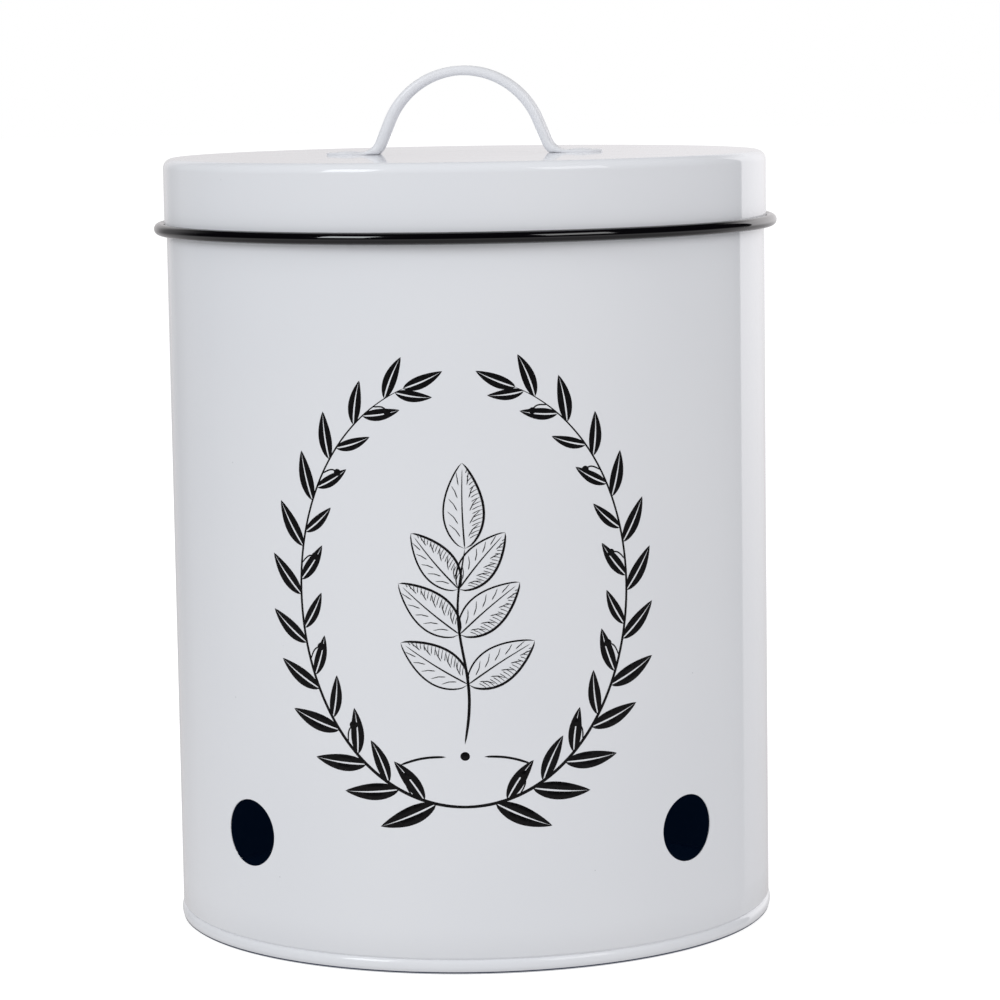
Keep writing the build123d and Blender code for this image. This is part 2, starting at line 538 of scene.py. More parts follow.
# ---------------------------------------------------------------- meshes
class MeshPlan:
    """Collects grids of points in millimetres and makes one closed mesh of them."""

    def __init__(self) -> None:
        """Starts empty."""
        self.points: list[Array] = []
        self.faces: list[Array] = []
        self.finishes: list[Array] = []
        self.count = 0

    def add_grid(
        self,
        points: Array,
        finish: Array | int = 0,
        keep: Array | None = None,
        close: tuple[bool, bool] = (False, False),
    ) -> None:
        """Adds a grid of points, with a face between each four neighbours.

        Args:
            points: rows by columns by three.
            finish: number of each face's finish, or one for all.
            keep: which faces are made, all where None.
            close: whether the last row joins the first, and the last column the first.
        """
        rows, columns = points.shape[:2]
        index = self.count + np.arange(rows * columns).reshape(rows, columns)
        index = np.vstack((index, index[:1])) if close[0] else index
        index = np.hstack((index, index[:, :1])) if close[1] else index
        quads = np.stack((index[:-1, :-1], index[1:, :-1], index[1:, 1:], index[:-1, 1:]), axis=-1)
        wanted = np.ones(quads.shape[:2], bool) if keep is None else keep
        self.points.append(points.reshape(-1, 3))
        self.faces.append(quads[wanted])
        self.finishes.append(np.broadcast_to(finish, quads.shape[:2])[wanted])
        self.count += rows * columns

    def add_turned(
        self, section: Array, columns: int = 288, finish: Array | int = 0, closed: bool = False
    ) -> None:
        """Adds a section turned about Z.

        Args:
            section: the section's points, across and up.
            columns: how many angles there are in the full turn.
            finish: number of the finish of each run of the section, or one for all.
            closed: whether the section's end joins its start.
        """
        angle = np.linspace(0, 2 * np.pi, columns, endpoint=False)[:, None]
        self.add_grid(wrapped(section[:, 0], angle, section[:, 1]), finish, close=(True, closed))

    def make(self, name: str, *finishes: Finish, place: Matrix | None = None) -> bpy.types.Object:
        """Makes the object: welds the grids, turns the faces outwards and smooths all but sharp edges.

        Args:
            name: the piece's name.
            finishes: what the faces' finish numbers stand for.
            place: a turn or shift in millimetres that goes into the mesh.

        Returns:
            The object, at the origin.
        """
        points = np.concatenate(self.points)
        if place is not None:
            points = points @ np.array(place.to_3x3()).T + np.array(place.translation)
        mesh = bpy.data.meshes.new(name)
        mesh.from_pydata((points * MM).tolist(), [], np.concatenate(self.faces).tolist())
        mesh.polygons.foreach_set("material_index", np.concatenate(self.finishes).astype(np.int32))
        build = bmesh.new()
        build.from_mesh(mesh)
        bmesh.ops.remove_doubles(build, verts=build.verts, dist=WELD_DISTANCE)
        bmesh.ops.recalc_face_normals(build, faces=build.faces)
        if build.calc_volume(signed=True) < 0:
            bmesh.ops.reverse_faces(build, faces=build.faces)
        build.to_mesh(mesh)
        build.free()
        mesh.shade_smooth()
        mesh.set_sharp_from_angle(angle=math.radians(SHARP_ANGLE))
        for finish in finishes:
            mesh.materials.append(finish.material())
        return put(name, mesh)


def put(name: str, data: bpy.types.ID) -> bpy.types.Object:
    """Puts a mesh, lamp or camera into the scene.

    Args:
        name: the object's name.
        data: what it shows.

    Returns:
        The object.
    """
    made = bpy.data.objects.new(name, data)
    bpy.context.scene.collection.objects.link(made)
    return made


def hand_over(piece: bpy.types.Object, body: Body, slot: Slot, *nodes: str) -> None:
    """Lets a piece ride on its body and puts it in place of frame nodes.

    Args:
        piece: the finished object.
        body: what it rides on.
        slot: not used.
        nodes: the nodes that it stands for.
    """
    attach(piece, body.value)
    if nodes:
        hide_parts(*nodes)
    LOG.info("%s: %d faces on %s", piece.name, len(piece.data.polygons), body.value)


# ---------------------------------------------------------------- the bin
@dataclass(frozen=True)
class BinBody:
    """The standing bin: a seamed wall with a curled mouth and vents, and a pressed base.

    The rim's bead has its half width and half height. The wall's neck has heights over the rim and shares
    of its depth there. The columns at the seam are lengths from its middle.
    """

    radius: float = 100.0
    height: float = 255.5
    sheet: float = 0.4
    hem_height: float = 3.2
    curl_radius: float = 2.0
    vent_radius: float = 10.9
    vent_height: float = 40.35
    vent_angles: tuple[float, ...] = (45.0, 135.0, 225.0, 315.0)
    vent_edge: float = 0.1
    vent_margin: float = 4.6
    seam_angle: float = 90.0
    seam_width: float = 6.0
    seam_depth: float = 1.2
    seam_columns: tuple[float, ...] = (0.0, 0.15, 0.25, 0.4, 1.2, 2.0, 2.85, 3.0, 3.1, 3.3)
    groove_width: float = 0.5
    groove_depth: float = 0.2
    gap: float = 0.05
    rim_height: float = 4.8
    rim_bead: Pair = (1.6, 2.4)
    rim_bend: float = 0.4
    neck_depth: float = 0.45
    neck_shape: tuple[tuple[float, ...], ...] = ((-0.8, -0.2, 0.1, 0.4, 0.6), (0, 1, 0.75, 0.15, 0))
    neck_rows: tuple[float, ...] = (-0.8, -0.5, -0.2, 0.0, 0.2, 0.4, 0.6)
    floor_recess: float = 4.0
    floor_bend: float = 0.6
    columns: int = 288
    patch_cells: int = 16

    @property
    def hem_bottom(self) -> float:
        """Height of the wall's lower edge, inside the rim of the base."""
        return self.sheet + self.gap

    @property
    def patch_half(self) -> float:
        """Half the angle that a vent's patch takes, in degrees."""
        return self.patch_cells / 2 * 360 / self.columns

    @property
    def patch_reach(self) -> float:
        """Half the height that a vent's patch takes."""
        return self.vent_radius + self.vent_margin

    def build(self) -> None:
        """Makes both pieces and hands them over."""
        hand_over(self.wall(), Body.BIN, Slot.WHITE, "body_shell")
        hand_over(self.base(), Body.BIN, Slot.WHITE, "base_plate")

    def _columns(self) -> Array:
        """The wall's angles: even, but closer together round the seam at the back.

        Returns:
            The angles in degrees, in order.
        """
        even = np.arange(self.columns) * 360 / self.columns
        arc = np.array(self.seam_columns)
        fine = np.degrees(np.concatenate((-arc[:0:-1], arc)) / self.radius) + self.seam_angle
        return np.sort(np.concatenate((even[(even < fine[0] - 0.3) | (even > fine[-1] + 0.3)], fine)))

    def _rows(self) -> Array:
        """The heights of the wall's rows: even beside the vents and sparse above them.

        Returns:
            The heights, from the hem to the start of the curl.
        """
        ends = self.vent_height - self.patch_reach, self.vent_height + self.patch_reach
        patch = np.linspace(*ends, self.patch_cells + 1)
        curl = self.height - self.curl_radius
        neck = self.rim_height + np.array(self.neck_rows)
        marks = np.array([[0, neck[-1]], [0, patch[0]]])
        above = np.array([[0, patch[-1]], [0, curl - 0.15], [0, curl]])
        rows = ([self.hem_bottom], neck, divided(marks, 14)[:, 1], patch, divided(above, 24)[:, 1])
        return np.unique(np.concatenate(rows).round(6))

    def wall(self) -> bpy.types.Object:
        """The wall: its section turned about Z, with radius changed round the seam and patches for vents.

        Round the seam, the outer radius drops by groove_depth within the groove, and the inner radius
        drops by seam_depth within half the seam's width of the back. Over the rim of the base, the sheet
        is necked in by up to neck_depth.

        Returns:
            The object.
        """
        rows = self._rows()
        fold = self.radius - self.sheet
        hem_top = self.hem_bottom + self.hem_height
        curl = (self.radius - self.curl_radius, self.height - self.curl_radius)
        outer = np.column_stack((np.full(len(rows), self.radius), rows))
        over = arc_line(curl, self.curl_radius, 0, 270)[1:]
        under = arc_line(curl, self.curl_radius - self.sheet, 270, -270)
        inner = np.column_stack((np.full(len(rows), fold), rows))[-2::-1]
        inner = inner[inner[:, 1] > hem_top]
        hem = np.array([[fold, hem_top], [fold - self.sheet, hem_top], [fold - self.sheet, self.hem_bottom]])
        section = np.concatenate((outer, over, under, inner, hem))
        outside = len(outer) + len(over)
        across, up = section.T

        angles = self._columns()
        away = np.abs(np.radians(angles - self.seam_angle) * self.radius)[:, None]
        groove = np.interp(away, [0.15, self.groove_width / 2], [self.groove_depth, 0.0])
        ridge = np.interp(away, [self.seam_width / 2, self.seam_width / 2 + 0.1], [self.seam_depth, 0.0])
        order = np.arange(len(section))
        grooved = (order < len(outer)) & (up > self.rim_height) & (up < curl[1] - 0.1)
        ridged = (order >= outside + len(under)) & (up > self.floor_recess + 0.4) & (up < curl[1] - 1.8)
        levels, shares = self.neck_shape
        neck = np.interp(up, self.rim_height + np.array(levels), shares)
        radius = across - groove * grooved - ridge * ridged - neck * self.neck_depth

        finish = np.where(order < outside - 1, 0, 1)
        points = wrapped(radius, np.radians(angles)[:, None], up)
        plan = MeshPlan()
        plan.add_grid(points, finish, ~self._vent_cells(angles, up), close=(True, True))
        for centre in self.vent_angles:
            self._add_vent(plan, centre)
        return plan.make("bin_wall", WHITE, DARK_INSIDE)

    def _vent_cells(self, angles: Array, up: Array) -> Array:
        """Which cells of the wall's grid are left out for the vents' patches.

        Args:
            angles: the grid's angles.
            up: the heights of the section's points.

        Returns:
            True where a cell is left out.
        """
        high = np.abs(up - self.vent_height) < self.patch_reach + 0.01
        off = np.abs((angles[:, None] - np.array(self.vent_angles) + 180) % 360 - 180)
        wide = off < self.patch_half + 0.01
        in_columns = (wide & np.roll(wide, -1, axis=0)).any(axis=1)
        return in_columns[:, None] & high & np.roll(high, -1)

    def _add_vent(self, plan: MeshPlan, centre: float) -> None:
        """Adds the rings round one vent, on both faces of the sheet, and the edge of its hole.

        A ring is a blend, at the same heights and angles, of the round hole and the patch's outline:
        (1 - t) hole + t outline. The hole is cut along one direction, so its points lie at the angle
        asin(r cos f / R) from the vent's middle and r sin f above it, f going once round.

        Args:
            plan: the wall's mesh plan.
            centre: the vent's angle.
        """
        side = np.linspace(-1, 1, self.patch_cells + 1)[:-1]
        flat = np.ones_like(side)
        pairs = ((side, -flat), (flat, side), (-side, flat), (-flat, -side))
        outline = np.concatenate([np.column_stack(pair) for pair in pairs])
        outline = outline * (self.patch_half, self.patch_reach)
        ease = np.linspace(0, 1, 9)[:, None, None] ** 1.4
        edges = []
        for radius, inset in ((self.radius, 0), (self.radius - self.sheet, 1)):
            spin = np.arctan2(outline[:, 1], np.radians(outline[:, 0]) * radius)
            wide = self._hole(self.vent_radius + self.vent_edge, radius, spin)
            rings = (1 - ease) * wide + ease * outline
            plan.add_grid(self._on_wall(rings, radius, centre), inset, close=(False, True))
            deeper = radius + (self.vent_edge if inset else -self.vent_edge)
            narrow = self._hole(self.vent_radius, deeper, spin)
            pair = [self._on_wall(wide, radius, centre), self._on_wall(narrow, deeper, centre)]
            edges += pair[::-1] if inset else pair
        plan.add_grid(np.stack(edges), 0, close=(False, True))

    @staticmethod
    def _hole(hole_radius: float, radius: float, spin: Array) -> Array:
        """Degrees and heights from a vent's middle, at angles round its hole in a cylinder of a radius."""
        angle = np.degrees(np.arcsin(hole_radius * np.cos(spin) / radius))
        return np.column_stack((angle, hole_radius * np.sin(spin)))

    def _on_wall(self, spots: Array, radius: float, centre: float) -> Array:
        """Points on a cylinder, from degrees and heights measured from the middle of a vent."""
        return wrapped(radius, np.radians(spots[..., 0] + centre), spots[..., 1] + self.vent_height)

    def base(self) -> bpy.types.Object:
        """The base: its bent section turned about Z, from the top of its rim to the middle and back.

        The rim is pressed round: with half axes a and b its outside runs along the ellipse
        (centre + a cos t, b + b sin t), from near the wall's neck to the standing ring.

        Returns:
            The object.
        """
        seat = self.radius + self.gap
        inside = seat + self.sheet - 2 * (2 * self.sheet + self.gap)
        across, up = self.rim_bead
        turn = np.radians(np.linspace(64, -56, 25))
        bead = np.column_stack((seat + self.sheet - across + across * np.cos(turn), up + up * np.sin(turn)))
        sole = bent_line(
            tuple(bead[-1]),
            (bead[-1, 0] - 0.25, 0, self.rim_bend * 0.5),
            (inside, 0, self.rim_bend),
            (inside, self.floor_recess, self.floor_bend),
            (0, self.floor_recess),
            support=0.1,
        )
        below = np.concatenate((bead[:-1], sole))
        wall, floor = inside + self.sheet, self.floor_recess + self.sheet
        above = bent_line(
            (0, floor),
            (wall, floor, self.floor_bend + self.sheet),
            (wall, self.sheet, 0.1),
            (seat, self.sheet, 0.1),
            (seat, self.rim_height - 1.2),
            support=0.1,
        )
        section = np.concatenate((below, above))
        finish = np.where(np.arange(len(section)) < len(below), 0, 1)
        plan = MeshPlan()
        plan.add_turned(section, self.columns, finish, closed=True)
        return plan.make("bin_base", WHITE, DARK_INSIDE)


# ---------------------------------------------------------------- the lid
@dataclass(frozen=True)
class SlipLid:
    """The loose lid: a pressed cup whose flange is held by a rolled trim."""

    radius: float = 100.7
    top: float = 256.2
    sheet: float = 0.4
    corner: float = 3.2
    trim_level: float = 232.95
    trim_centre: float = 102.25
    trim_radius: float = 1.95
    trim_sheet: float = 0.4
    lip_gap: float = 0.2
    flange_tip: float = 103.4
    flange_bend: float = 0.3

    def build(self) -> None:
        """Makes both pieces and hands them over."""
        hand_over(self.cup(), Body.LID, Slot.WHITE, "lid_shell")
        hand_over(self.trim(), Body.LID, Slot.BLACK, "lid_rim_trim")

    def cup(self) -> bpy.types.Object:
        """The cup: its section turned about Z, out over the top and back on the underside.

        Returns:
            The object.
        """
        inner, roof = self.radius - self.sheet, self.top - self.sheet
        upper = self.trim_level + self.sheet / 2
        lower = upper - self.sheet
        outside = bent_line(
            (0, self.top),
            (self.radius, self.top, self.corner),
            (self.radius, upper, self.flange_bend),
            (self.flange_tip, upper),
        )
        inside = bent_line(
            (self.flange_tip, lower),
            (inner, lower, self.flange_bend + self.sheet),
            (inner, roof, self.corner - self.sheet),
            (0, roof),
        )
        section = np.concatenate((outside, inside))
        plan = MeshPlan()
        plan.add_turned(section, finish=np.where(np.arange(len(section) - 1) < len(outside), 0, 1))
        return plan.make("lid_cup", WHITE, DARK_INSIDE)

    def trim(self) -> bpy.types.Object:
        """The trim: an open ring of sheet, two arcs about one centre, turned about Z.

        Returns:
            The object.
        """
        bore = self.trim_radius - self.trim_sheet
        upper = math.degrees(math.acos((self.radius + self.lip_gap - self.trim_centre) / self.trim_radius))
        lower = 180 + math.degrees(math.asin((self.sheet / 2 + self.lip_gap) / bore))
        turn = 360 + upper - lower
        centre = (self.trim_centre, self.trim_level)
        outside = arc_line(centre, self.trim_radius, lower, turn, 5.0)
        inside = arc_line(centre, bore, lower + turn, -turn, 8.0)
        plan = MeshPlan()
        plan.add_turned(np.concatenate((outside, inside)), closed=True)
        return plan.make("rim_trim", BLACK)


# ---------------------------------------------------------------- the handle
@dataclass(frozen=True)
class CarryHandle:
    """The handle: a strap with rolled rims, arched over two round feet, with a rivet in each.

    A rivet's head has its radius, its height and the height of its rim, and its tail radius and height.
    """

    lid_top: float = 256.2
    lid_sheet: float = 0.4
    turn: float = -3.5
    height: float = 29.2
    arch_radius: float = 28.5
    leg_slant: float = 22.5
    flare_radius: float = 6.0
    foot_reach: float = 4.2
    foot_radius: float = 7.4
    strap_sheet: float = 0.8
    strap_width: float = 12.0
    rim_diameter: float = 3.2
    web_drop: float = 0.55
    rivet_head: tuple[float, float, float] = (3.5, 0.5, 0.15)
    rivet_tail: Pair = (3.0, 0.7)
    rivet_shank: float = 1.7

    @property
    def leg_length(self) -> float:
        """Length of each straight leg, from the end of its flare to the arch.

        Returns:
            The length.
        """
        run = math.sin(math.radians(self.leg_slant))
        arch_level = self.height - self.arch_radius
        drop = arch_level + self.arch_radius * run - self.strap_sheet - self.flare_radius * (1 - run)
        return drop / math.cos(math.radians(self.leg_slant))

    @property
    def rivet_offset(self) -> float:
        """Distance of each rivet from the lid's axis."""
        slant = math.radians(self.leg_slant)
        flare = (self.arch_radius + self.flare_radius) * math.cos(slant) + self.leg_length * math.sin(slant)
        return flare + self.foot_reach

    @property
    def turned(self) -> Matrix:
        """The turn of the loose lid about Z."""
        return Matrix.Rotation(math.radians(self.turn), 4, "Z")

    def build(self) -> None:
        """Makes the strap and both rivets and hands them over."""
        hand_over(self.strap(), Body.LID, Slot.WHITE, "handle_strap")
        for side, sign in (("left", -1), ("right", 1)):
            hand_over(self.rivet(side, sign), Body.LID, Slot.WHITE, f"handle_rivet_{side}")

    def _path(self) -> BendPath:
        """The strap's outer face seen from the side, from rivet to rivet, as heights over the lid.

        Returns:
            The path.
        """
        climb = 90 - self.leg_slant
        flare = self.flare_radius * math.radians(climb)
        arch = self.arch_radius * math.radians(2 * climb)
        path = BendPath((-self.rivet_offset, self.strap_sheet))
        path.run(self.foot_reach).run(flare, climb).run(self.leg_length).run(arch, -2 * climb)
        return path.run(self.leg_length).run(flare, climb).run(self.foot_reach)

    def strap(self) -> bpy.types.Object:
        """The strap: an edge profile carried along its outline, and a web between the edges.

        The outline is given in the strap's own sheet, as length s along it and distance w from its middle.
        Round each rivet it is a circle, and between them w is the greater of half the strap's width and
        the circle's chord. The profile is a roll of radius r: it goes a inwards from the outline and h
        under the outer face, a = r (1 - sin q) and h = r (1 - cos q), until it meets the web's underside.
        Where it is flat on the lid, its lower half goes straight down, as enamel fills the gap there.
        A point is path(s) + side w - normal h. Where the rims are full, the web lies web_drop lower.

        Returns:
            The object.
        """
        path = self._path()
        length = path.starts[-1]
        fan = np.radians(np.linspace(0, 90, 13)[:-1])
        tip = np.column_stack((-self.foot_radius * np.cos(fan), self.foot_radius * np.sin(fan)))
        tip_inward = np.column_stack((np.cos(fan), -np.sin(fan)))

        disc = self.foot_radius * np.cos(np.radians(np.linspace(90, 35, 10)))
        stations = np.unique(np.concatenate((path.stations(3.0), disc, length - disc)).round(6))
        slope = (self._half_width(stations + 0.01, length) - self._half_width(stations - 0.01, length)) / 0.02
        size = np.hypot(slope, 1)
        run = np.column_stack((stations, self._half_width(stations, length)))
        run_inward = np.column_stack((slope / size, -1 / size))

        mirrored = np.array([-1, 1])
        outline = np.concatenate((tip, run, tip[::-1] * mirrored + (length, 0)))
        inward = np.concatenate((tip_inward, run_inward, tip_inward[::-1] * mirrored))
        middle = outline[:, 0].clip(0, length)

        roll = self._roll_depth(path, outline[:, 0]) / 2
        full = (roll * 2 - self.strap_sheet) / (self.rim_diameter - self.strap_sheet)
        under = (270 + np.degrees(np.arcsin(((roll - self.strap_sheet) / roll).clip(-1, 1))))[:, None]
        sweep = np.radians(under * np.linspace(0, 1, 31))
        inset = roll[:, None] * (1 - np.sin(sweep))
        inset = np.where(sweep > np.pi / 2, inset * (full * 4).clip(0, 1)[:, None], inset)
        depth = roll[:, None] * (1 - np.cos(sweep))
        edge = outline[:, None] + inward[:, None] * inset[..., None]

        share = np.linspace(0, 1, 5)[:-1][None, :, None]
        core = np.stack((middle, 0 * middle), axis=-1)[:, None]
        top = core + (edge[:, :1] - core) * share
        bottom = (core + (edge[:, -1:] - core) * share)[:, ::-1]
        near = np.concatenate((top, edge, bottom), axis=1)
        web = (full * self.web_drop)[:, None] + 0 * top[..., 0]
        sunk = np.concatenate((web, depth, web + self.strap_sheet), axis=1)
        sheet = np.concatenate((near, near[:, ::-1] * (1, -1)), axis=1)
        sunk = np.concatenate((sunk, sunk[:, ::-1]), axis=1)

        spots, heading = path.at(sheet[..., 0])
        across = spots[..., 0] + sunk * np.sin(heading)
        up = spots[..., 1] - sunk * np.cos(heading) + self.lid_top
        plan = MeshPlan()
        plan.add_grid(np.stack((across, -sheet[..., 1], up), axis=-1), close=(False, True))
        return plan.make("carry_strap", SOFT, place=self.turned)

    def _half_width(self, s: Array, length: float) -> Array:
        """Half the strap's width: a soft maximum of half the strap and the chord of the nearer foot.

        Args:
            s: lengths from the first rivet.
            length: the length between the rivets.

        Returns:
            The half widths.
        """
        off = np.minimum(np.abs(s), np.abs(length - s))
        chord = np.sqrt((self.foot_radius**2 - off**2).clip(0))
        half, blend = self.strap_width / 2, 0.25
        soft = chord + half + np.sqrt((chord - half) ** 2 + blend**2)
        return soft / 2 - blend**2 / 4 / (np.abs(chord - half) + blend)

    def _roll_depth(self, path: BendPath, s: Array) -> Array:
        """Depth of the rolled rims under the outer face: full, but no deeper than the lid allows.

        Where the outer face is h over the lid and slopes by p, a depth of h / cos p just reaches the lid.

        Args:
            path: the strap's path.
            s: lengths along it.

        Returns:
            The depths.
        """
        spots, heading = path.at(s)
        room = spots[:, 1] / np.cos(heading).clip(0.05) - 0.02
        return room.clip(self.strap_sheet, self.rim_diameter)

    def rivet(self, side: str, sign: int) -> bpy.types.Object:
        """A rivet: a shallow domed head, a shank and a clinched tail, turned about its own axis.

        Args:
            side: the side's name.
            sign: -1 for left, 1 for right.

        Returns:
            The object.
        """
        head_radius, head_height, head_rim = self.rivet_head
        tail_radius, tail_height = self.rivet_tail
        foot = self.lid_top + self.strap_sheet
        below = self.lid_top - self.lid_sheet
        rise = head_height - head_rim
        dome = (head_radius**2 + rise**2) / (2 * rise)
        spread = math.degrees(math.asin(head_radius / dome))
        cap = arc_line((0, foot + head_height - dome), dome, 90, -spread, 1.2)
        shank = bent_line(
            (head_radius, foot),
            (self.rivet_shank, foot),
            (self.rivet_shank, below),
            (tail_radius, below),
            (tail_radius, below - tail_height, 0.25),
            (0, below - tail_height),
            support=0.05,
        )
        plan = MeshPlan()
        plan.add_turned(np.concatenate((cap, shank)), 48)
        place = self.turned @ Matrix.Translation((sign * self.rivet_offset, 0, 0))
        return plan.make(f"strap_rivet_{side}", SOFT, place=place)


# ---------------------------------------------------------------- the print
class Pen(MeshPlan):
    """Draws in thin raised ink, with lengths u round the wall from the middle of the front and heights z.

    A point goes on to the wall's radius R at X = R sin(u / R), Y = -R cos(u / R).
    """

    def __init__(self, wall_radius: float, ink: float) -> None:
        """Starts empty, for a wall of this radius and ink of this thickness."""
        super().__init__()
        self.wall_radius = wall_radius
        self.ink = ink

    def slab(self, first: Array, second: Array) -> None:
        """Adds a slab between two edge lines, which rises from below the wall's face at the edges.

        Args:
            first: one edge, as points (u, z).
            second: the other edge, with as many points.
        """
        share = np.array([0.0, 0.06, 0.5, 0.94, 1.0])[:, None]
        radius = self.wall_radius + self.ink * np.array([-1.0, 0.9, 1.0, 0.9, -1.0])
        flat = first[:, None] + (second - first)[:, None] * share
        angle = flat[..., 0] / self.wall_radius
        points = np.stack((radius * np.sin(angle), -radius * np.cos(angle), flat[..., 1]), axis=-1)
        self.add_grid(points, close=(False, True))

    def stroke(self, line: Array, width: float, taper: float = 0.0) -> None:
        """Adds a stroke along a line: full width in the middle, drawn out to nothing at its ends.

        Args:
            line: the middle of the stroke, as points (u, z).
            width: its full width.
            taper: how much thinner it gets towards its end, from 0 to 1.
        """
        way = np.gradient(line, axis=0)
        side = np.column_stack((-way[:, 1], way[:, 0])) / np.linalg.norm(way, axis=1)[:, None]
        t = np.linspace(0, 1, len(line))
        half = width / 2 * (1 - np.abs(2 * t - 1) ** 6).clip(0) ** 0.5 * (1 - taper * t)
        self.slab(line - side * half[:, None], line + side * half[:, None])

    def dot(self, spot: Array, radius: float) -> None:
        """Adds a round dot, with two half circles as its edges.

        Args:
            spot: its middle.
            radius: its radius.
        """
        turn = np.linspace(0, np.pi, 17)
        arc = np.column_stack((np.cos(turn), np.sin(turn))) * radius
        self.slab(spot + arc, spot + arc * (1, -1))


@dataclass(frozen=True)
class Leaf:
    """A leaf of the print: its foot, its direction in radians and its length."""

    foot: Array
    heading: float
    length: float
    solid_width: float = 0.155
    line_width: float = 0.235
    rib_gap: float = 0.32
    vein: tuple[Pair, ...] = ((0, 0.3), (0.085, 0.50), (0.15, 0.80))
    hatch: tuple[Pair, ...] = ((0.02, 0.42), (0.05, 0.68), (0.07, 0.95))

    def _placed(self, along: Array, beside: Array) -> Array:
        """Print points (u, z), from distances along and beside the leaf."""
        way = np.array([math.cos(self.heading), math.sin(self.heading)])
        return self.foot + along[:, None] * way + beside[:, None] * np.array([-way[1], way[0]])

    @staticmethod
    def _side(t: Array) -> Array:
        """Half width of a leaf of width 2 at the share t of its length: sin(pi t^0.8)^0.8."""
        return np.sin(np.pi * t**0.8).clip(0) ** 0.8

    def solid(self, pen: Pen, bow: float) -> None:
        """Draws it black, with its midrib left white.

        Args:
            pen: what draws it.
            bow: how far its middle is bent aside.
        """
        t = np.linspace(0, 1, 19)
        bend = bow * 4 * t * (1 - t)
        for sign in (-1, 1):
            inner = sign * self.rib_gap * (1 - t) * np.sin(np.pi * t) ** 0.5
            outer = sign * self.solid_width * self.length * self._side(t)
            outer = np.where(np.abs(outer) > np.abs(inner), outer, inner)
            pen.slab(*(self._placed(t * self.length, bend + beside) for beside in (inner, outer)))

    def hatched(self, pen: Pen, shaded: int = -1) -> None:
        """Draws it in line: two edges, a midrib, side veins and hatching on its shaded side.

        Args:
            pen: what draws it.
            shaded: which side is hatched.
        """
        t = np.linspace(0, 1, 25)
        for side in (-1, 1):
            edge = self._placed(t * self.length, side * self.line_width * self.length * self._side(t))
            pen.stroke(edge, 0.85 if side == shaded else 0.6)
        pen.stroke(self._placed(t * 0.93 * self.length, 0.4 * np.sin(np.pi * t)), 0.65, 0.6)
        for start in np.linspace(0.14, 0.74, 5):
            for side in (-1, 1):
                self._curve(pen, side, start, self.vein, 0.38)
        for start in np.linspace(0.10, 0.86, 17):
            self._curve(pen, shaded, start, self.hatch, 0.3)

    def _curve(self, pen: Pen, side: int, start: float, shape: tuple[Pair, ...], width: float) -> None:
        """Draws a short curved line, from near the rib towards an edge.

        Args:
            pen: what draws it.
            side: on which side of the rib.
            start: where along the leaf it starts, from 0 to 1.
            shape: three points, as shares of the leaf's length and of its half width.
            width: the line's width.
        """
        spots = np.array(shape) * (self.length, 1)
        t = np.linspace(0, 2, 9)
        along = start * self.length + np.interp(t, [0, 1, 2], spots[:, 0])
        share = np.interp(t, [0, 1, 2], spots[:, 1])
        beside = side * share * (self.line_width * self.length) * self._side((along / self.length).clip(0, 1))
        pen.stroke(self._placed(along, beside), width, 0.5)


